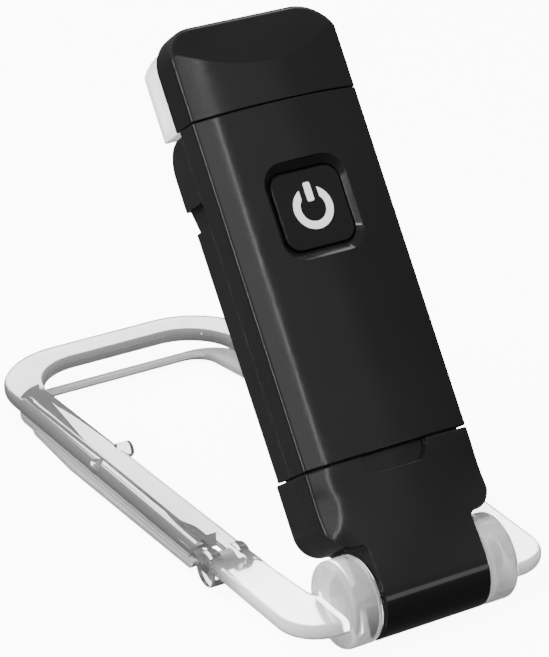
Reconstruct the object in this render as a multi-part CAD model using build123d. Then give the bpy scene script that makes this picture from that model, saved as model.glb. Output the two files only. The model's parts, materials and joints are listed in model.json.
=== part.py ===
from build123d import *
import os

# Rechargeable clip-on reading light, in millimetres.
# Row frame: +X across the lamp, +Y along the clip away from the hinge, +Z up, with the clip lying flat.
# The lamp parts are drawn upright in a lamp frame whose origin is on the fold hinge (x across, y to the
# back where the light shines, z up along the lamp) and are then leant back over the clip.

# ---- driving dimensions -------------------------------------------------------------------------
LEAN = 34.5                 # degrees the lamp leans back from upright, at rest
EAR_RADIUS = 6.4            # hinge ears of the clip; also how high the fold axis stands above the table
FIT = 0.05                  # radial clearance of a running pin

HALF_WIDTH = 13.5           # lamp, across
FRONT = -6.4                # y of the front crown on the centre line
EDGE_Y = -3.9               # y where the crown meets the side walls
PARTING = 0.4               # y of the joint between front and rear shells
BACK_LOW = 5.6              # y of the back at the lower seam
BACK_MID = 6.1              # y of the back beside the battery
BACK_HIGH = 7.2             # y of the back above the side notches
WALL = 1.3
CAVITY_FRONT = -4.3         # y of the flat inside of the front wall

LOWER_SEAM = 18.6           # z of the seam between base and lamp body
UPPER_SEAM = 70.0           # z of the seam between lamp body and head
HEAD_TOP = 84.0
SEAM = 0.24                 # open height of a seam

BARREL_HALF = 8.55          # half length of the hinge barrel
BARREL_RADIUS = 6.4
PIN_RADIUS = 1.2
EAR_INNER = 8.95
EAR_OUTER = 13.6

BUTTON_Z = 54.1
BUTTON_MOUTH = 14.2         # recess at the surface
BUTTON_HOLE = 11.6
BUTTON_CAP = 11.2
BUTTON_TOP = -5.45          # y of the cap's top face
BUTTON_BACK = -3.6          # y of the back of the cap's flange

PLUG_Y = -0.6               # y of the plug's centre line
PLUG_WIDTH = 12.0
PLUG_DEPTH = 4.5
PLUG_LENGTH = 12.0

BOARD_FRONT = -2.0
BOARD_BACK = -1.2
SCREW_X = 9.5
SCREW_Z = (24.8, 65.3)

CLIP_HALF = 21.5            # clip loop, outer half width by the hinge; the arms spread a little
CLIP_FAR_HALF = 23.2
CLIP_INNER = 14.6           # clip loop, inner half width by the hinge
CLIP_INNER_FAR = 17.15
CLIP_FAR = 97.2             # outer edge of the far bar
CLIP_FAR_INNER = 91.0
CLIP_NEAR = -4.6
CLIP_BOTTOM = -2.3
CLIP_TOP = 0.0
RIB_RADIUS = 1.5
RIB_NEAR = (20.5, 25.0)     # ends of the bead along each arm
RIB_FAR = (21.5, 81.0)

KNUCKLE_Y = 21.9            # flap pivot
KNUCKLE_Z = -2.4
KNUCKLE_RADIUS = 2.7
KNUCKLE_IN = 15.0
KNUCKLE_OUT = 21.9
EYE_RADIUS = 2.1
FLAP_PIN = 0.8
SLOT_IN = 16.95             # slot in each arm that takes the flap's eye
SLOT_OUT = 19.65
NUB_Y = 58.6                # snap nubs on the insides of the arms
NUB_Z = -0.8
NUB_TIP = 14.4
NUB_RADIUS = 1.3
KNOB_Y = 55.5               # round knobs outside the arms

FLAP_HALF = 21.2
FLAP_INNER = 17.0
FLAP_WAIST = 19.2           # inner half width where the arms are slimmest
FLAP_FAR = 91.2
FLAP_FAR_INNER = 89.9
FLAP_TOP = -2.77
FLAP_THICK = 1.35
FLAP_DROOP = 1.35           # degrees the flap falls away from the loop

HINGE_Y = -45.4             # the row's origin lies under the middle of the whole part

LAMP_FRAME = Location((0, HINGE_Y, EAR_RADIUS), (-LEAN, 0, 0))
CLIP_FRAME = Location((0, HINGE_Y, EAR_RADIUS))

os.makedirs("parts", exist_ok=True)


# ---- helpers ------------------------------------------------------------------------------------
def save(name, shape, place):
    placed = place * shape
    export_step(placed, f"parts/{name}.step")


def rounded(points, radii):
    """Face of a polygon in the XY plane with its corners rounded; a radius of 0 keeps a corner."""
    face = make_face(Polyline(*points, close=True))
    for (x, y), radius in zip(points, radii):
        if radius > 0:
            corner = face.vertices().sort_by_distance((x, y, 0))[0]
            face = fillet(corner, radius)
    return face


def across(face, half):
    """Extrude a (y, z) face symmetrically along x."""
    return extrude(Plane.YZ * face, amount=half, both=True)


def through(face, y_front, y_back):
    """Extrude an (x, z) face from y_front to y_back."""
    return extrude(Plane.XZ.offset(-y_back) * face, amount=y_back - y_front)


def box(x0, x1, y0, y1, z0, z1):
    centre = ((x0 + x1) / 2, (y0 + y1) / 2, (z0 + z1) / 2)
    return Location(centre) * Box(x1 - x0, y1 - y0, z1 - z0)


def rod(radius, x0, x1, y=0.0, z=0.0):
    """Cylinder along x."""
    return Location(((x0 + x1) / 2, y, z), (0, 90, 0)) * Cylinder(radius, x1 - x0)


def both_sides(shape):
    return [shape, mirror(shape, about=Plane.YZ)]


def edges_at(shape, plane_axis, value, tolerance=0.02):
    """Edges whose whole length lies in the plane where plane_axis equals value."""
    return shape.edges().filter_by_position(plane_axis, value - tolerance, value + tolerance)


# ---- the lamp's cross-section -------------------------------------------------------------------
def section(back, edge_y=EDGE_Y):
    """Outline across the lamp: arched front, straight sides and a flat back."""
    crown = ThreePointArc((-HALF_WIDTH, edge_y), (0, FRONT), (HALF_WIDTH, edge_y))
    sides = Polyline((HALF_WIDTH, edge_y), (HALF_WIDTH, back), (-HALF_WIDTH, back), (-HALF_WIDTH, edge_y))
    face = make_face(crown + sides)
    for x in (-HALF_WIDTH, HALF_WIDTH):
        corner = face.vertices().sort_by_distance((x, edge_y, 0))[0]
        face = fillet(corner, 0.7)
    return face


def prism(z0, z1, back):
    return extrude(Plane.XY.offset(z0) * section(back), amount=z1 - z0)


def cavity(z0, z1, back):
    """Inside of a front shell, WALL under the section."""
    half = HALF_WIDTH - WALL
    flat = 8.5
    points = [(-half, back), (-half, EDGE_Y + 1.1), (-flat, CAVITY_FRONT)]
    points += [(-x, y) for x, y in reversed(points)]
    return extrude(Plane.XY.offset(z0) * make_face(Polyline(*points, close=True)), amount=z1 - z0)


def plug_slot(clearance, z0, z1):
    half_w = PLUG_WIDTH / 2 + clearance
    half_d = PLUG_DEPTH / 2 + clearance
    return box(-half_w, half_w, PLUG_Y - half_d, PLUG_Y + half_d, z0, z1)


# ---- lamp body ----------------------------------------------------------------------------------
BODY_LOW = LOWER_SEAM + SEAM / 2
BODY_HIGH = UPPER_SEAM - SEAM / 4
COLLAR_HEIGHT = 0.7         # the socket's collar stands this far into the lamp body
SPIGOT_HALF = 11.4          # the head's spigot that enters the lamp body
SPIGOT_FRONT = -2.7
SPIGOT_BACK = 0.2


def button_opening(size, corner, y):
    """Rounded square of the button, as a face standing at depth y."""
    return Plane.XZ.offset(-y) * (Location((0, BUTTON_Z)) * RectangleRounded(size, size + 0.2, corner))


def collar(inset, z0, z1):
    """Step across the lower seam that keeps light from showing through it."""
    half = HALF_WIDTH - 0.9 - inset
    back = BACK_LOW - 1.0 - inset
    points = [(-half, back), (-half, EDGE_Y + 1.0 + inset), (-8.5, CAVITY_FRONT - 0.2 + inset)]
    points += [(-x, y) for x, y in reversed(points)]
    return extrude(Plane.XY.offset(z0) * make_face(Polyline(*points, close=True)), amount=z1 - z0)


def front_cover():
    cover = prism(BODY_LOW, BODY_HIGH, PARTING)
    cover = chamfer(edges_at(cover, Axis.Z, BODY_LOW), 0.15)
    cover = chamfer(edges_at(cover, Axis.Z, BODY_HIGH), 0.12)
    cover -= cavity(BODY_LOW + WALL, BODY_HIGH - WALL, PARTING)
    mouth = button_opening(BUTTON_MOUTH, 3.2, FRONT + 0.15)
    throat = button_opening(BUTTON_HOLE, 2.4, BUTTON_TOP + 0.35)
    cover -= loft([mouth.face(), throat.face()])
    cover -= extrude(mouth, amount=1)
    cover -= extrude(button_opening(BUTTON_HOLE, 2.4, BUTTON_BACK), amount=3)
    cover -= plug_slot(0.05, LOWER_SEAM - 1, BODY_LOW + WALL + 1)
    cover -= collar(0, BODY_LOW - 1, BODY_LOW + COLLAR_HEIGHT)
    cover -= box(-SPIGOT_HALF - FIT, SPIGOT_HALF + FIT, SPIGOT_FRONT - FIT, SPIGOT_BACK,
                 BODY_HIGH - WALL - 1, BODY_HIGH + 1)
    for x in (-SCREW_X, SCREW_X):
        for z in SCREW_Z:
            cover += through(Location((x, z)) * Circle(1.4), CAVITY_FRONT, BOARD_FRONT)
            cover -= through(Location((x, z)) * Circle(0.6), CAVITY_FRONT + 0.7, BOARD_FRONT)
    return cover


BATTERY_TOP = 55.8
REAR_TOP = UPPER_SEAM - 0.3
NOTCH_Z = 57.7              # side notches
NOTCH_HALF = 1.8
NOTCH_FLOOR = 12.4          # x of their floor


def rear_cover():
    side = [
        (PARTING, BODY_LOW),
        (BACK_LOW, BODY_LOW),
        (BACK_MID, BATTERY_TOP),
        (BACK_HIGH, NOTCH_Z + NOTCH_HALF),
        (BACK_HIGH, REAR_TOP),
        (PARTING, REAR_TOP),
    ]
    cover = across(rounded(side, [0, 0, 4, 3, 5, 0]), HALF_WIDTH)
    long_edges = cover.edges().filter_by_position(Axis.Y, BACK_LOW - 0.1, BACK_HIGH + 0.1)
    long_edges = [edge for edge in long_edges if edge.length > 3 and abs(edge.center().X) > 13]
    cover = fillet(long_edges, 1.1)
    inside = [
        (PARTING - 1, BODY_LOW + WALL),
        (BACK_LOW - WALL, BODY_LOW + WALL),
        (BACK_MID - WALL, BATTERY_TOP),
        (BACK_HIGH - WALL, NOTCH_Z + NOTCH_HALF),
        (BACK_HIGH - WALL, REAR_TOP - WALL),
        (PARTING - 1, REAR_TOP - WALL),
    ]
    cover -= across(rounded(inside, [0, 0, 4, 3, 3.7, 0]), HALF_WIDTH - WALL)
    cover = chamfer(edges_at(cover, Axis.Y, PARTING).filter_by(Axis.Z).sort_by(Axis.X)[0], 0.2)
    cover = chamfer(edges_at(cover, Axis.Y, PARTING).filter_by(Axis.Z).sort_by(Axis.X)[-1], 0.2)
    cover -= plug_slot(0.05, LOWER_SEAM - 1, BODY_LOW + WALL + 1)
    cover -= collar(0, BODY_LOW - 1, BODY_LOW + COLLAR_HEIGHT)
    backing = box(NOTCH_FLOOR - 1.2, 12.4, PARTING, BACK_MID - 1.0, NOTCH_Z - 2.6, NOTCH_Z + 2.6)
    slot = box(NOTCH_FLOOR, 16, PARTING, 9, NOTCH_Z - NOTCH_HALF, NOTCH_Z + NOTCH_HALF)
    for side_backing in both_sides(backing):
        cover += side_backing
    for side_slot in both_sides(slot):
        cover -= side_slot
    return cover


def button_cap():
    stem = RectangleRounded(BUTTON_CAP, BUTTON_CAP + 0.2, 2.2)
    cap = through(Location((0, BUTTON_Z)) * stem, BUTTON_TOP, BUTTON_BACK)
    cap = fillet(edges_at(cap, Axis.Y, BUTTON_TOP), 0.35)
    flange = RectangleRounded(12.6, 12.6, 2.8)
    cap += through(Location((0, BUTTON_Z)) * flange, BUTTON_BACK - 0.55, BUTTON_BACK)
    return cap - power_mark(BUTTON_TOP - 0.1, BUTTON_TOP + 0.1)


def power_mark(y_front, y_back):
    """Ring with a gap at the top and a short bar in it."""
    ring = Circle(3.15) - Circle(2.0)
    opening = Location((0, 3)) * Rectangle(2.9, 4)
    bar = Location((0, 2.35)) * RectangleRounded(1.1, 2.8, 0.3)
    mark = (ring - opening) + bar
    return through(Location((0, BUTTON_Z)) * mark, y_front, y_back)


def tact_switch():
    body = through(Location((0, BUTTON_Z)) * RectangleRounded(4.6, 4.6, 0.4), BOARD_FRONT - 1.1, BOARD_FRONT)
    return body - through(Location((0, BUTTON_Z)) * Circle(1.2 + FIT), BOARD_FRONT - 1.2, BOARD_FRONT - 0.1)


def tact_plunger():
    return through(Location((0, BUTTON_Z)) * Circle(1.2), BUTTON_BACK, BUTTON_BACK + 1.0)


def board_screws():
    screws = []
    for x in (-SCREW_X, SCREW_X):
        for z in SCREW_Z:
            head = through(Location((x, z)) * Circle(1.2), BOARD_BACK, BOARD_BACK + 0.6)
            head -= through(Location((x, z)) * Rectangle(0.3, 1.6), BOARD_BACK + 0.3, BOARD_BACK + 0.7)
            shank = through(Location((x, z)) * Circle(0.6), CAVITY_FRONT + 1.0, BOARD_BACK)
            screws.append(head + shank)
    return screws


def main_board():
    board = box(-11.4, 11.4, BOARD_FRONT, BOARD_BACK, 26.8, 67.4)
    for leg in both_sides(box(6.4, 11.4, BOARD_FRONT, BOARD_BACK, 20.8, 26.8)):
        board += leg
    for x in (-SCREW_X, SCREW_X):
        for z in SCREW_Z:
            board -= through(Location((x, z)) * Circle(0.6), BOARD_FRONT - 1, BOARD_BACK + 1)
    return board


def board_chips():
    charger = box(-2.2, 2.2, BOARD_FRONT - 1.0, BOARD_FRONT, 35.8, 39.8)
    driver = box(4.2, 7.4, BOARD_FRONT - 0.9, BOARD_FRONT, 42.3, 45.3)
    parts = [charger, driver]
    for x in (-7.5, -5.5, -3.5):
        parts.append(box(x, x + 1.0, BOARD_FRONT - 0.5, BOARD_FRONT, 42.8, 44.6))
    return parts


def battery():
    cell = box(-10.2, 10.2, BOARD_BACK + 0.2, 3.0, 29.3, BATTERY_TOP)
    return fillet(cell.edges().filter_by(Axis.Z), 1.2)


def battery_tape():
    return box(-7.0, 7.0, BOARD_BACK, BOARD_BACK + 0.2, 31.8, 52.8)


# ---- plug ---------------------------------------------------------------------------------------
PLUG_TIP = BODY_LOW - PLUG_LENGTH


def usb_shell():
    shell = plug_slot(0, PLUG_TIP, 26.4)
    shell = fillet(shell.edges().filter_by(Axis.Z), 0.5)
    shell -= plug_slot(-0.3, PLUG_TIP - 1, 26.1)
    for x in (-3.0, 3.0):
        shell -= box(x - 1.1, x + 1.1, -8, 4, PLUG_TIP + 5.0, PLUG_TIP + 7.2)
    return shell


def usb_tongue():
    tongue = box(-5.6, 5.6, PLUG_Y + 0.1, PLUG_Y + PLUG_DEPTH / 2 - 0.3, PLUG_TIP + 0.4, 20.8)
    block = plug_slot(-0.3, 20.8, 26.1)
    return tongue + block


def usb_contacts():
    contacts = []
    for x, length in ((-3.5, 8.4), (-1.0, 7.4), (1.0, 7.4), (3.5, 8.4)):
        top = 20.6
        contacts.append(box(x - 0.5, x + 0.5, PLUG_Y, PLUG_Y + 0.1, top - length - 1.5, top))
    return contacts


# ---- head ---------------------------------------------------------------------------------------
HEAD_LOW = UPPER_SEAM + SEAM / 4
HEAD_BACK = 1.5
FACET_LOW = 76.1            # z where the front facet starts on the centre line
FACET_SLOPE = 1.8           # rise over depth of the facet
LIGHT_Z = 76.4              # height of the LEDs


def head_outline(inset):
    half = HALF_WIDTH - inset
    points = [(-half, HEAD_LOW), (half, HEAD_LOW), (half, HEAD_TOP - inset), (-half, HEAD_TOP - inset)]
    corner = 5.2 - inset
    return rounded(points, [0, 0, corner, corner])


def head_shell():
    head = prism(HEAD_LOW, HEAD_TOP, HEAD_BACK) & through(head_outline(0), -10, 10)
    depth = (HEAD_TOP + 3 - FACET_LOW) / FACET_SLOPE
    facet = make_face(Polyline(
        (FRONT - 3, FACET_LOW - 3 * FACET_SLOPE),
        (FRONT + depth, HEAD_TOP + 3),
        (FRONT - 3, HEAD_TOP + 3),
        close=True,
    ))
    head -= across(facet, 20)
    head = fillet([edge for edge in head.edges() if edge.center().Z > 80.9 and edge.center().Y < 0], 1.2)
    head = chamfer(edges_at(head, Axis.Z, HEAD_LOW), 0.12)
    head -= box(-11.5, 11.5, SPIGOT_FRONT, HEAD_BACK - 0.7, HEAD_LOW + WALL, HEAD_LOW + WALL + 8)
    pocket = RectangleRounded(23.0, 10.4, 1.5)
    head -= through(Location((0, LIGHT_Z)) * pocket, HEAD_BACK - 1.4, HEAD_BACK + 1)
    head += box(-SPIGOT_HALF, SPIGOT_HALF, SPIGOT_FRONT, SPIGOT_BACK - FIT, BODY_HIGH - WALL - 0.8, HEAD_LOW)
    head -= box(-2.5, 2.5, -1.8, -0.6, BODY_HIGH - WALL - 2, HEAD_LOW + WALL + 1)
    return head


LENS_BACK = 8.0
LENS_TOP = 83.2


def lens_body(inset):
    half = 13.2 - inset
    low = HEAD_LOW + inset
    side = [
        (HEAD_BACK, low),
        (LENS_BACK - inset, low),
        (LENS_BACK - inset, LENS_TOP - inset),
        (HEAD_BACK, LENS_TOP - inset),
    ]
    solid = across(rounded(side, [0, 0.8, 5.2 - inset, 0]), half)
    outline = rounded(
        [(-half, low), (half, low), (half, LENS_TOP - inset), (-half, LENS_TOP - inset)],
        [0, 0, 5.0 - inset, 5.0 - inset],
    )
    plan = rounded(
        [(-half, HEAD_BACK), (half, HEAD_BACK), (half, LENS_BACK - inset), (-half, LENS_BACK - inset)],
        [0, 0, 1.6 - inset, 1.6 - inset],
    )
    solid &= extrude(Plane.XY.offset(low) * plan, amount=LENS_TOP - low)
    return solid & through(outline, HEAD_BACK - 1, LENS_BACK + 1)


def light_lens():
    lens = lens_body(0)
    hollow = lens_body(1.2) + box(-11.4, 11.4, HEAD_BACK - 1, HEAD_BACK + 0.1, 71.4, 81.2)
    return lens - hollow


def led_board():
    return through(Location((0, LIGHT_Z)) * Rectangle(21.6, 9.4), HEAD_BACK - 1.1, HEAD_BACK - 0.3)


LED_X = (-7.0, 0.0, 7.0)


def leds():
    emitters = []
    for x in LED_X:
        body = through(Location((x, LIGHT_Z)) * Rectangle(3.5, 2.8), HEAD_BACK - 0.3, HEAD_BACK + 0.4)
        emitters.append(body - through(Location((x, LIGHT_Z)) * Circle(1.1), HEAD_BACK + 0.25, HEAD_BACK + 1))
    return emitters


TRAY_BACK = HEAD_BACK + 2.2


def light_reflector():
    tray = through(Location((0, LIGHT_Z)) * RectangleRounded(22.2, 9.2, 1.2), HEAD_BACK + 0.15, TRAY_BACK)
    for x in LED_X:
        low = Plane.XZ.offset(-HEAD_BACK - 0.1) * (Location((x, LIGHT_Z)) * Rectangle(3.9, 3.2))
        high = Plane.XZ.offset(-TRAY_BACK - 0.1) * (Location((x, LIGHT_Z)) * Rectangle(6.4, 7.4))
        tray -= loft([low.face(), high.face()])
    return tray


def head_wires():
    wires = []
    for x in (-1.2, 1.2):
        wire = box(x - 0.35, x + 0.35, -1.55, -0.85, 67.4, 72.8)
        wires.append(wire + box(x - 0.35, x + 0.35, -0.85, HEAD_BACK - 1.1, 72.1, 72.8))
    return wires


# ---- base ---------------------------------------------------------------------------------------
BASE_TOP = LOWER_SEAM - SEAM / 2
NECK_LOW = 6.8              # underside of the shoulders, just clear of the ears
POCKET_FLOOR = 5.6
NOTCH_DEPTH = 0.7


def base_solid():
    """Crowned like the lamp body at the seam, flat across at the barrel."""
    half = HALF_WIDTH
    heights = (-8, -3, 3, 12, 15, BASE_TOP)
    edges = (FRONT + 0.1, FRONT + 0.1, FRONT + 0.3, EDGE_Y, EDGE_Y, EDGE_Y)
    solid = loft([Plane.XY.offset(z) * section(8, edge_y) for z, edge_y in zip(heights, edges)])
    points = [
        (-half, BASE_TOP), (half, BASE_TOP), (half, NECK_LOW), (BARREL_HALF, NECK_LOW), (BARREL_HALF, -8),
        (-BARREL_HALF, -8), (-BARREL_HALF, NECK_LOW), (-half, NECK_LOW),
    ]
    outline = rounded(points, [0, 0, 3.95, 0.9, 0, 0, 0.9, 3.95])
    flank = make_face(Polyline(
        (-8, BASE_TOP), (-8, 0), (BARREL_RADIUS, 0), (BACK_LOW, 7.0), (BACK_LOW, BASE_TOP), close=True,
    ))
    flank += Circle(BARREL_RADIUS)
    flank += Location((-BARREL_RADIUS / 2 - 2, 4)) * Rectangle(BARREL_RADIUS + 4, 8)
    return solid & through(outline, -10, 10) & across(flank, 20)


def thumb_notch():
    """Shallow scoop under the seam that a thumbnail catches; its floor follows the crown."""
    shape = rounded([(-5.5, BASE_TOP + 1), (-5.2, 17.5), (-4.0, 15.7), (4.0, 15.7), (5.2, 17.5),
                     (5.5, BASE_TOP + 1)], [0, 0.8, 1.7, 1.7, 0.8, 0])
    return through(shape, FRONT - 1, FRONT + 3) - Location((0, NOTCH_DEPTH, 0)) * prism(10, 25, 8)


def socket_pocket(clearance):
    half_w = PLUG_WIDTH / 2 + 1.0 + clearance
    half_d = PLUG_DEPTH / 2 + 1.2 + clearance
    return box(-half_w, half_w, PLUG_Y - half_d, PLUG_Y + half_d, POCKET_FLOOR - clearance, BASE_TOP + 1)


REAR_SPLIT = 6.4            # the barrel below this height is one piece with the front shell


def base_shells():
    solid = base_solid()
    solid = chamfer(edges_at(solid, Axis.Z, BASE_TOP), 0.18)
    solid -= thumb_notch()
    solid -= socket_pocket(0)
    solid -= collar(0.15, BASE_TOP - 0.8, BASE_TOP + 1)
    solid -= rod(PIN_RADIUS + FIT, -20, 20)
    rear_half = box(-20, 20, PARTING, 20, REAR_SPLIT, 30)
    front = solid - rear_half
    rear = solid & rear_half
    groove = [box(x, x + 0.4, PARTING - 0.22, PARTING, NECK_LOW, BASE_TOP)
              for x in (-HALF_WIDTH - 0.2, HALF_WIDTH - 0.2)]
    for cut in groove:
        front -= cut
    return front, rear


def socket_sleeve():
    sleeve = socket_pocket(0) & box(-20, 20, -20, 20, 0, BASE_TOP)
    sleeve += collar(0.15, BASE_TOP - 0.8, BODY_LOW + COLLAR_HEIGHT - 0.15)
    return sleeve - plug_slot(0.1, PLUG_TIP - 0.5, BASE_TOP + 2)


def hinge_pin():
    return chamfer(rod(PIN_RADIUS, -EAR_OUTER + 0.4, EAR_OUTER - 0.4).edges(), 0.2)


def friction_washers():
    washer = rod(3.8, BARREL_HALF + FIT, EAR_INNER) - rod(PIN_RADIUS, 8, 10)
    return both_sides(washer)


# ---- clip ---------------------------------------------------------------------------------------
def between(near, far, y):
    """x on the line through two (x, y) points."""
    return near[0] + (far[0] - near[0]) * (y - near[1]) / (far[1] - near[1])


def rim(face):
    """Plate of the clip's thickness with its edges rounded, except by the ears."""
    plate = extrude(Plane.XY.offset(CLIP_BOTTOM) * face, amount=CLIP_TOP - CLIP_BOTTOM)
    edges = edges_at(plate, Axis.Z, CLIP_TOP) + edges_at(plate, Axis.Z, CLIP_BOTTOM)
    return fillet([edge for edge in edges if abs(edge.center().X) > 13.2 or edge.center().Y > 50], 1.0)


def clip_frame():
    outside = [(13.0, CLIP_NEAR), (CLIP_HALF, CLIP_NEAR), (CLIP_FAR_HALF, CLIP_FAR)]
    inside = [(CLIP_INNER_FAR, CLIP_FAR_INNER), (CLIP_INNER, 13.0), (13.95, 5.6), (13.0, 3.6)]
    loop = outside + [(-x, y) for x, y in reversed(outside)]
    loop += [(-x, y) for x, y in reversed(inside)] + inside
    plate = rim(rounded(loop, [0, 6.5, 13.5, 13.5, 6.5, 0, 0, 4, 8, 8.8, 8.8, 8, 4, 0]))

    rib_z = CLIP_TOP + 0.4 - RIB_RADIUS
    along = Vector(RIB_FAR[0] - RIB_NEAR[0], RIB_FAR[1] - RIB_NEAR[1], 0)
    rib = extrude(Plane((*RIB_NEAR, rib_z), z_dir=along) * Circle(RIB_RADIUS), amount=along.length)
    for x, y in (RIB_NEAR, RIB_FAR):
        rib += Location((x, y, rib_z)) * Sphere(RIB_RADIUS)
    knob_x = between(RIB_NEAR, RIB_FAR, KNOB_Y) + 0.8
    knob = Location((knob_x, KNOB_Y, rib_z + 0.5)) * Sphere(1.3)
    ear = rod(EAR_RADIUS, EAR_INNER, EAR_OUTER)
    ear = fillet(ear.edges().filter_by(GeomType.CIRCLE), 0.8)
    knuckle = rod(KNUCKLE_RADIUS, KNUCKLE_IN, KNUCKLE_OUT, KNUCKLE_Y, KNUCKLE_Z)
    knuckle = fillet(knuckle.edges().filter_by(GeomType.CIRCLE), 0.4)
    nub = rod(NUB_RADIUS, NUB_TIP, CLIP_INNER_FAR, NUB_Y, NUB_Z)
    nub = fillet(nub.edges().filter_by(GeomType.CIRCLE), 0.45)
    for added in (ear, rib, knob, knuckle, nub):
        for piece in both_sides(added):
            plate += piece

    slot = box(SLOT_IN, SLOT_OUT, KNUCKLE_Y - 3.2, KNUCKLE_Y + 5.2, -6, 6)
    bore = rod(FLAP_PIN, KNUCKLE_IN + 0.7, KNUCKLE_OUT - 0.8, KNUCKLE_Y, KNUCKLE_Z)
    for cut in both_sides(slot) + both_sides(bore):
        plate -= cut
    return plate - rod(PIN_RADIUS, -EAR_OUTER + 0.4, EAR_OUTER - 0.4)


def flap_pins():
    pin = rod(FLAP_PIN, KNUCKLE_IN + 0.7, KNUCKLE_OUT - 0.8, KNUCKLE_Y, KNUCKLE_Z)
    return both_sides(pin)


def clip_flap():
    half, inner = FLAP_HALF, FLAP_INNER
    near = KNUCKLE_Y + 6.0
    inside = [(15.2, FLAP_FAR_INNER), (FLAP_WAIST, 57.0), (FLAP_WAIST, 40.0), (inner, 33.0), (inner, near)]
    loop = [(half, near), (half, FLAP_FAR), (-half, FLAP_FAR), (-half, near)]
    loop += [(-x, y) for x, y in reversed(inside)] + inside
    radii = [0, 8, 8, 0, 0, 4, 4, 15, 4, 4, 15, 4, 4, 0]
    low = FLAP_TOP - FLAP_THICK
    flap = extrude(Plane.XY.offset(low) * rounded(loop, radii), amount=FLAP_THICK)
    flap = fillet(edges_at(flap, Axis.Z, FLAP_TOP) + edges_at(flap, Axis.Z, low), 0.4)
    fin = rounded([(KNUCKLE_Y + 4.0, FLAP_TOP - 0.4), (KNUCKLE_Y + 5.2, -4.6), (66.5, -5.15), (79.0, low),
                   (80.0, FLAP_TOP - 0.5)], [0.2, 0.8, 4.0, 1.0, 0.2])
    fin = extrude(Plane.YZ.offset(half - 1.0) * fin, amount=1.3)
    arm = box(SLOT_IN + 0.25, SLOT_OUT - 0.25, KNUCKLE_Y, near + 2, low + 0.1, FLAP_TOP - 0.05)
    eye = rod(EYE_RADIUS, SLOT_IN + 0.25, SLOT_OUT - 0.25, KNUCKLE_Y, KNUCKLE_Z)
    hole = rod(FLAP_PIN + FIT, SLOT_IN, SLOT_OUT, KNUCKLE_Y, KNUCKLE_Z)
    for piece in both_sides(fin) + both_sides(arm) + both_sides(eye):
        flap += piece
    for cut in both_sides(hole):
        flap -= cut
    pivot = Location((0, KNUCKLE_Y, KNUCKLE_Z))
    droop = Location((0, 0, 0), (-FLAP_DROOP, 0, 0))
    return (pivot * droop * pivot.inverse()) * flap


# ---- write every node ---------------------------------------------------------------------------
BASE_FRONT, BASE_REAR = base_shells()

LAMP_PARTS = {
    "front_cover": front_cover(),
    "rear_cover": rear_cover(),
    "button_cap": button_cap(),
    "power_symbol": power_mark(BUTTON_TOP - 0.05, BUTTON_TOP + 0.1),
    "tact_switch": tact_switch(),
    "tact_plunger": tact_plunger(),
    "main_board": main_board(),
    "board_chips": Compound(children=board_chips()),
    "board_screws": Compound(children=board_screws()),
    "battery": battery(),
    "battery_tape": battery_tape(),
    "usb_shell": usb_shell(),
    "usb_tongue": usb_tongue(),
    "usb_contacts": Compound(children=usb_contacts()),
    "head_shell": head_shell(),
    "light_lens": light_lens(),
    "led_board": led_board(),
    "leds": Compound(children=leds()),
    "light_reflector": light_reflector(),
    "head_wires": Compound(children=head_wires()),
    "base_front_shell": BASE_FRONT,
    "base_rear_shell": BASE_REAR,
    "socket_sleeve": socket_sleeve(),
}

CLIP_PARTS = {
    "clip_frame": clip_frame(),
    "clip_flap": clip_flap(),
    "flap_pins": Compound(children=flap_pins()),
    "hinge_pin": hinge_pin(),
    "friction_washers": Compound(children=friction_washers()),
}

for part_name, part_shape in LAMP_PARTS.items():
    save(part_name, part_shape, LAMP_FRAME)
for part_name, part_shape in CLIP_PARTS.items():
    save(part_name, part_shape, CLIP_FRAME)
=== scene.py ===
"""Looks of a rechargeable clip-on reading light: a glossy black lamp over its clear loop clip."""
import json
import math

import bpy
from mathutils import Matrix, Vector

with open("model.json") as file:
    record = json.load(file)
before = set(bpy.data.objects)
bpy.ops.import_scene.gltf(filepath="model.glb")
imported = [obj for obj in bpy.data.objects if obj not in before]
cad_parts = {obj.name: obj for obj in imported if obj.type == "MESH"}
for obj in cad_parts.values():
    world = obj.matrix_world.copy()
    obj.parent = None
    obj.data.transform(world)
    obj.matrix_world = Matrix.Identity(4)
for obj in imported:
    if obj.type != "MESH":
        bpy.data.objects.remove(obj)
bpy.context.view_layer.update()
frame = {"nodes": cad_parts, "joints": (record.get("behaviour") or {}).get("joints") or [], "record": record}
nodes = frame["nodes"]
fold = next(joint for joint in frame["joints"] if joint["name"] == "fold")
HINGE = Vector(fold["pos_m"])

# Most noise values lie in this span.
NOISE_SPAN = (0.3, 0.7)
# Reliefs and edges, in metres.
EDGE_ROUND = 0.00022
GRAIN_DEPTH = 0.00002
RIPPLE_DEPTH = 0.0003
# The clip turns from milky to clear, and its colour from near white to a painted grey shade, between these
# distances from the fold hinge.
MILKY_END, CLEAR_AND_SHADED_START = 0.010, 0.024

FLOOR_HALF = 4.0
FLOOR_GLOW = 9.0
LIGHTS_AIM = (0, -0.01, 0.045)

# Heading, pitch and roll in degrees, then the camera's place as seen from the fold hinge.
CAMERA_ANGLES = (29.64, -25.28, -1.49)
CAMERA_FROM_HINGE = (-0.18566, -0.28816, 0.20134)
CAMERA_LENS = 153.87
CAMERA_CLIP = (0.01, 20.0)


# ---- node helpers -------------------------------------------------------------------------------
def map_range(tree, source, from_min, from_max, to_min, to_max, interpolation="LINEAR"):
    """Map source from one range to another and give the result's socket."""
    node = tree.nodes.new("ShaderNodeMapRange")
    node.interpolation_type = interpolation
    limits = {"From Min": from_min, "From Max": from_max, "To Min": to_min, "To Max": to_max}
    for key, value in limits.items():
        node.inputs[key].default_value = value
    tree.links.new(source, node.inputs["Value"])
    return node.outputs["Result"]


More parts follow.
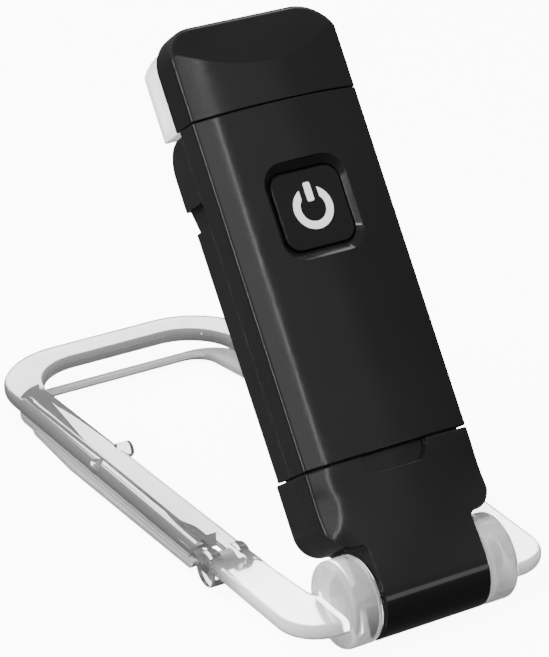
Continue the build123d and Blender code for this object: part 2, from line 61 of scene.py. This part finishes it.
class Nodes:
    """Short way to build a material's node tree."""

    def __init__(self, name):
        self.material = bpy.data.materials.new(name)
        self.material.use_nodes = True
        self.tree = self.material.node_tree
        self.bsdf = self.tree.nodes["Principled BSDF"]
        self.coords = self.add("ShaderNodeTexCoord").outputs["Object"]

    def add(self, kind, **values):
        node = self.tree.nodes.new(kind)
        for key, value in values.items():
            setattr(node, key, value)
        return node

    def link(self, source, target):
        self.tree.links.new(source, target)

    def set(self, **values):
        for key, value in values.items():
            self.bsdf.inputs[key.replace("_", " ")].default_value = value

    def noise(self, scale, detail=3.0, roughness=0.5, stretch=(1, 1, 1)):
        mapping = self.add("ShaderNodeMapping")
        mapping.inputs["Scale"].default_value = stretch
        self.link(self.coords, mapping.inputs["Vector"])
        noise = self.add("ShaderNodeTexNoise")
        noise.inputs["Scale"].default_value = scale
        noise.inputs["Detail"].default_value = detail
        noise.inputs["Roughness"].default_value = roughness
        self.link(mapping.outputs["Vector"], noise.inputs["Vector"])
        return noise.outputs["Fac"]

    def spread(self, value, low, high):
        """Map a noise value to the range low to high."""
        return map_range(self.tree, value, *NOISE_SPAN, low, high)

    def ramp(self, value, low, high):
        """Mix two colours by a noise value."""
        node = self.add("ShaderNodeMix", data_type="RGBA")
        node.inputs["A"].default_value = (*low, 1)
        node.inputs["B"].default_value = (*high, 1)
        self.link(self.spread(value, 0.0, 1.0), node.inputs["Factor"])
        return node.outputs["Result"]

    def along(self, axis, start, end, low, high):
        """Value that goes from low to high as the point moves from start to end along an axis."""
        split = self.add("ShaderNodeSeparateXYZ")
        self.link(self.coords, split.inputs["Vector"])
        return map_range(self.tree, split.outputs[axis], start, end, low, high, "SMOOTHSTEP")

    def bump(self, height, strength, distance, edge=0.0):
        """Relief from a height; a positive edge also rounds sharp edges to that radius."""
        node = self.add("ShaderNodeBump")
        if edge > 0:
            rounding = self.add("ShaderNodeBevel", samples=6)
            rounding.inputs["Radius"].default_value = edge
            self.link(rounding.outputs["Normal"], node.inputs["Normal"])
        node.inputs["Strength"].default_value = strength
        node.inputs["Distance"].default_value = distance
        self.link(height, node.inputs["Height"])
        self.link(node.outputs["Normal"], self.bsdf.inputs["Normal"])


def moulded(name, dark, light, rough_low, rough_high, grain=2600, relief=0.05, edge=0.0,
            **values):
    """Opaque moulded plastic: a fine spark-eroded grain over faint flow marks."""
    m = Nodes(name)
    m.link(m.ramp(m.noise(55, 4), dark, light), m.bsdf.inputs["Base Color"])
    m.link(m.spread(m.noise(140, 5), rough_low, rough_high), m.bsdf.inputs["Roughness"])
    m.bump(m.noise(grain, 2, 0.6), relief, GRAIN_DEPTH, edge)
    m.set(**values)
    return m.material


def clear(name, colour_low, colour_high, rough_low, rough_high, **values):
    """Water-clear moulded plastic with faint flow ripples."""
    m = Nodes(name)
    m.link(m.ramp(m.noise(40, 2), colour_low, colour_high), m.bsdf.inputs["Base Color"])
    m.link(m.spread(m.noise(90, 3), rough_low, rough_high), m.bsdf.inputs["Roughness"])
    m.bump(m.noise(120, 2, 0.4, (1, 0.35, 1)), 0.08, RIPPLE_DEPTH)
    m.set(**values)
    return m.material


def clear_clip():
    """The loop's clear plastic: milky and near white by the hinge, clear along the arms, where a grey colour
    is painted as shade.
    """
    m = Nodes("clear_plastic")
    start, end = HINGE.y + MILKY_END, HINGE.y + CLEAR_AND_SHADED_START
    # Painted shade: the colour darkens from near white at the hinge to grey along the arms, standing in for
    # dark surroundings seen through the plastic.
    shade_mix = m.add("ShaderNodeMix", data_type="RGBA")
    shade_mix.inputs["A"].default_value = (0.95, 0.95, 0.97, 1)
    m.link(m.ramp(m.noise(40, 2), (0.31, 0.31, 0.315), (0.38, 0.38, 0.385)), shade_mix.inputs["B"])
    m.link(m.along("Y", start, end, 0.0, 1.0), shade_mix.inputs["Factor"])
    m.link(shade_mix.outputs["Result"], m.bsdf.inputs["Base Color"])
    m.link(m.along("Y", start, end, 0.72, 0.93), m.bsdf.inputs["Transmission Weight"])
    m.link(m.along("Y", start, end, 0.16, 0.04), m.bsdf.inputs["Roughness"])
    m.bump(m.noise(120, 2, 0.4, (1, 0.35, 1)), 0.06, RIPPLE_DEPTH)
    m.set(IOR=1.47)
    return m.material


def metal(name, dark, light, rough_low, rough_high, stretch=(1, 1, 1)):
    """Bare metal with a fine grain; stretch draws the grain out along an axis."""
    m = Nodes(name)
    m.link(m.ramp(m.noise(300, 4, 0.6, stretch), dark, light), m.bsdf.inputs["Base Color"])
    worn = m.noise(500, 4, 0.6, stretch)
    m.link(m.spread(worn, rough_low, rough_high), m.bsdf.inputs["Roughness"])
    m.bump(m.noise(900, 3, 0.6, stretch), 0.15, GRAIN_DEPTH)
    m.set(Metallic=1.0)
    return m.material


BLACK = moulded("black_plastic", (0.0055, 0.0055, 0.006), (0.008, 0.008, 0.0085), 0.08, 0.11,
                relief=0.02, edge=EDGE_ROUND, Specular_IOR_Level=0.4)
# Painted shade: the head shell gets a darker copy of the body's black, its darker colour standing in for the
# shade on the head.
HEAD_SHADED_BLACK = moulded("head_shaded_black", (0.0035, 0.0035, 0.004), (0.006, 0.006, 0.0065), 0.14, 0.20,
                     edge=EDGE_ROUND, Specular_IOR_Level=0.5)
BUTTON = moulded("button_black", (0.004, 0.004, 0.0045), (0.007, 0.007, 0.0075), 0.24, 0.32,
                 Specular_IOR_Level=0.3)
PRINT = moulded("white_print", (0.95, 0.95, 0.96), (0.98, 0.98, 0.98), 0.45, 0.6)
DARK = moulded("dark_plastic", (0.02, 0.02, 0.021), (0.035, 0.035, 0.036), 0.45, 0.6)
WHITE = moulded("white_plastic", (0.80, 0.80, 0.80), (0.88, 0.88, 0.88), 0.4, 0.5)
BOARD = moulded("circuit_board", (0.008, 0.09, 0.035), (0.012, 0.13, 0.05), 0.3, 0.4)
CHIP = moulded("chip_black", (0.015, 0.015, 0.016), (0.03, 0.03, 0.03), 0.5, 0.65)
TAPE = moulded("white_tape", (0.72, 0.72, 0.69), (0.82, 0.82, 0.79), 0.7, 0.85, 900, 0.3)
PHOSPHOR = moulded("led_yellow", (0.82, 0.66, 0.14), (0.9, 0.75, 0.22), 0.35, 0.5)
WIRE = moulded("wire_red", (0.42, 0.02, 0.015), (0.55, 0.04, 0.03), 0.35, 0.5)
STEEL = metal("steel", (0.55, 0.56, 0.58), (0.68, 0.69, 0.71), 0.2, 0.34, (1, 1, 12))
FOIL = metal("battery_foil", (0.62, 0.63, 0.66), (0.74, 0.75, 0.78), 0.32, 0.5)
GOLD = metal("gold_contact", (0.78, 0.53, 0.16), (0.88, 0.64, 0.24), 0.18, 0.28)
CLEAR = clear_clip()
# Painted shade: the flap's grey colour stands in for dark surroundings seen through the clear plastic.
GREY_SHADED_CLEAR = clear("smoky_plastic", (0.27, 0.27, 0.275), (0.32, 0.32, 0.325), 0.08, 0.14,
              Transmission_Weight=0.4, IOR=1.3)
FROST = clear("frosted_lens", (0.95, 0.94, 0.97), (0.98, 0.97, 0.99), 0.25, 0.36,
              Transmission_Weight=0.5, IOR=1.45)

SLOT_LOOK = {
    "black_plastic": BLACK,
    "button_black": BUTTON,
    "white_print": PRINT,
    "switch_body": DARK,
    "circuit_board": BOARD,
    "chip_black": CHIP,
    "steel": STEEL,
    "battery_foil": FOIL,
    "white_tape": TAPE,
    "white_plastic": WHITE,
    "gold_contact": GOLD,
    "frosted_lens": FROST,
    "led_yellow": PHOSPHOR,
    "wire_red": WIRE,
    "dark_plastic": DARK,
    "clear_plastic": CLEAR,
    "smoky_plastic": GREY_SHADED_CLEAR,
}

# Nodes whose finish differs from that of their slot; the head shell's darker black is painted shade.
NODE_LOOK = {"head_shell": HEAD_SHADED_BLACK, "friction_washers": WHITE}


def dress_nodes():
    """Give every CAD node the finish of its slot."""
    for subpart in frame["record"]["subparts"]:
        node = subpart["node"]
        mesh = nodes[node].data
        mesh.materials.clear()
        mesh.materials.append(NODE_LOOK.get(node, SLOT_LOOK[subpart["material_slot"]]))
    # Mirrored in the gloss black, the bright clip would leave a white patch.
    nodes["clip_frame"].visible_glossy = False


# ---- stage --------------------------------------------------------------------------------------
def floor():
    """Plain pale floor that gives off light, so the ground stays near white."""
    size = FLOOR_HALF
    mesh = bpy.data.meshes.new("floor")
    corners = [(-size, -size, 0), (size, -size, 0), (size, size, 0), (-size, size, 0)]
    mesh.from_pydata(corners, [], [(0, 1, 2, 3)])
    plane = bpy.data.objects.new("floor", mesh)
    bpy.context.scene.collection.objects.link(plane)
    m = Nodes("floor")
    shade = m.ramp(m.noise(8, 2), (0.93, 0.93, 0.93), (0.95, 0.95, 0.95))
    m.link(shade, m.bsdf.inputs["Base Color"])
    m.set(Roughness=0.9, Specular_IOR_Level=0.0)
    m.set(Emission_Color=(1, 1, 1, 1), Emission_Strength=FLOOR_GLOW)
    mesh.materials.append(m.material)
    plane.visible_glossy = False
    plane.visible_diffuse = False


def direction(azimuth, elevation):
    """Unit vector; azimuth turns from -Y towards +X, and elevation is above the floor."""
    azimuth, elevation = math.radians(azimuth), math.radians(elevation)
    flat = math.cos(elevation)
    return Vector((math.sin(azimuth) * flat, -math.cos(azimuth) * flat, math.sin(elevation)))


def area_light(name, azimuth, elevation, distance, size, watts, mirrored=True):
    """Rectangular soft light facing the object; mirrored says if gloss reflects it."""
    towards = direction(azimuth, elevation)
    light = bpy.data.lights.new(name, "AREA")
    light.shape = "RECTANGLE"
    light.size, light.size_y = size
    light.energy = watts
    holder = bpy.data.objects.new(name, light)
    bpy.context.scene.collection.objects.link(holder)
    holder.location = Vector(LIGHTS_AIM) + towards * distance
    holder.visible_glossy = mirrored
    holder.rotation_euler = (-towards).to_track_quat("-Z", "Y").to_euler()


def studio_world():
    """Soft grey room: dim below the horizon, on the right and straight overhead."""
    world = bpy.data.worlds.new("studio")
    world.use_nodes = True
    tree = world.node_tree
    coords = tree.nodes.new("ShaderNodeTexCoord")
    split = tree.nodes.new("ShaderNodeSeparateXYZ")
    tree.links.new(coords.outputs["Generated"], split.inputs["Vector"])
    up, across = split.outputs["Z"], split.outputs["X"]
    strength = map_range(tree, up, -0.1, 0.7, 0.14, 0.64)
    side = map_range(tree, across, 0.40, 0.60, 1.0, 0.65)
    overhead = map_range(tree, up, 0.74, 0.84, 1.0, 0.4)
    for factor in (side, overhead):
        product = tree.nodes.new("ShaderNodeMath")
        product.operation = "MULTIPLY"
        tree.links.new(strength, product.inputs[0])
        tree.links.new(factor, product.inputs[1])
        strength = product.outputs["Value"]
    tree.links.new(strength, tree.nodes["Background"].inputs["Strength"])
    tree.nodes["Background"].inputs["Color"].default_value = (1, 1, 1, 1)
    bpy.context.scene.world = world


# Name, azimuth, elevation, distance, size and watts. The soft ones are not mirrored in gloss.
SOFT_LIGHTS = (
    ("key_left", -115, 28, 2.0, (1.6, 1.6), 100),
    ("fill", -62, 64, 1.5, (0.7, 0.7), 36),
)
MIRRORED_LIGHTS = (
    ("left_band", -14, 41, 1.0, (0.16, 0.40), 0.24),
    ("left_line", -7, 41, 1.0, (0.006, 0.5), 0.2),
    ("left_edge", -66, 23, 1.0, (0.06, 0.45), 2.0),
    ("barrel_band", 28, 7, 1.0, (0.5, 0.17), 0.5),
    ("rim", 136, 47, 1.0, (0.18, 0.18), 0.35),
)


def lights():
    """Soft light from the left, and narrow ones that draw the lines on the gloss."""
    studio_world()
    for settings in SOFT_LIGHTS:
        area_light(*settings, mirrored=False)
    for settings in MIRRORED_LIGHTS:
        area_light(*settings)


def camera():
    """Camera at the viewing angle, worked out about the fold hinge."""
    heading, pitch, roll = (math.radians(angle) for angle in CAMERA_ANGLES)
    forward = Vector((
        math.sin(heading) * math.cos(pitch),
        math.cos(heading) * math.cos(pitch),
        math.sin(pitch),
    ))
    level = forward.cross(Vector((0, 0, 1))).normalized()
    upright = level.cross(forward)
    right = math.cos(roll) * level + math.sin(roll) * upright
    up = math.cos(roll) * upright - math.sin(roll) * level
    data = bpy.data.cameras.new("camera")
    data.lens = CAMERA_LENS
    data.sensor_width = 36.0
    data.clip_start, data.clip_end = CAMERA_CLIP
    holder = bpy.data.objects.new("camera", data)
    turn = Matrix((right, up, -forward)).transposed().to_4x4()
    holder.matrix_world = Matrix.Translation(HINGE + Vector(CAMERA_FROM_HINGE)) @ turn
    bpy.context.scene.collection.objects.link(holder)
    bpy.context.scene.camera = holder


dress_nodes()
floor()
lights()
camera()
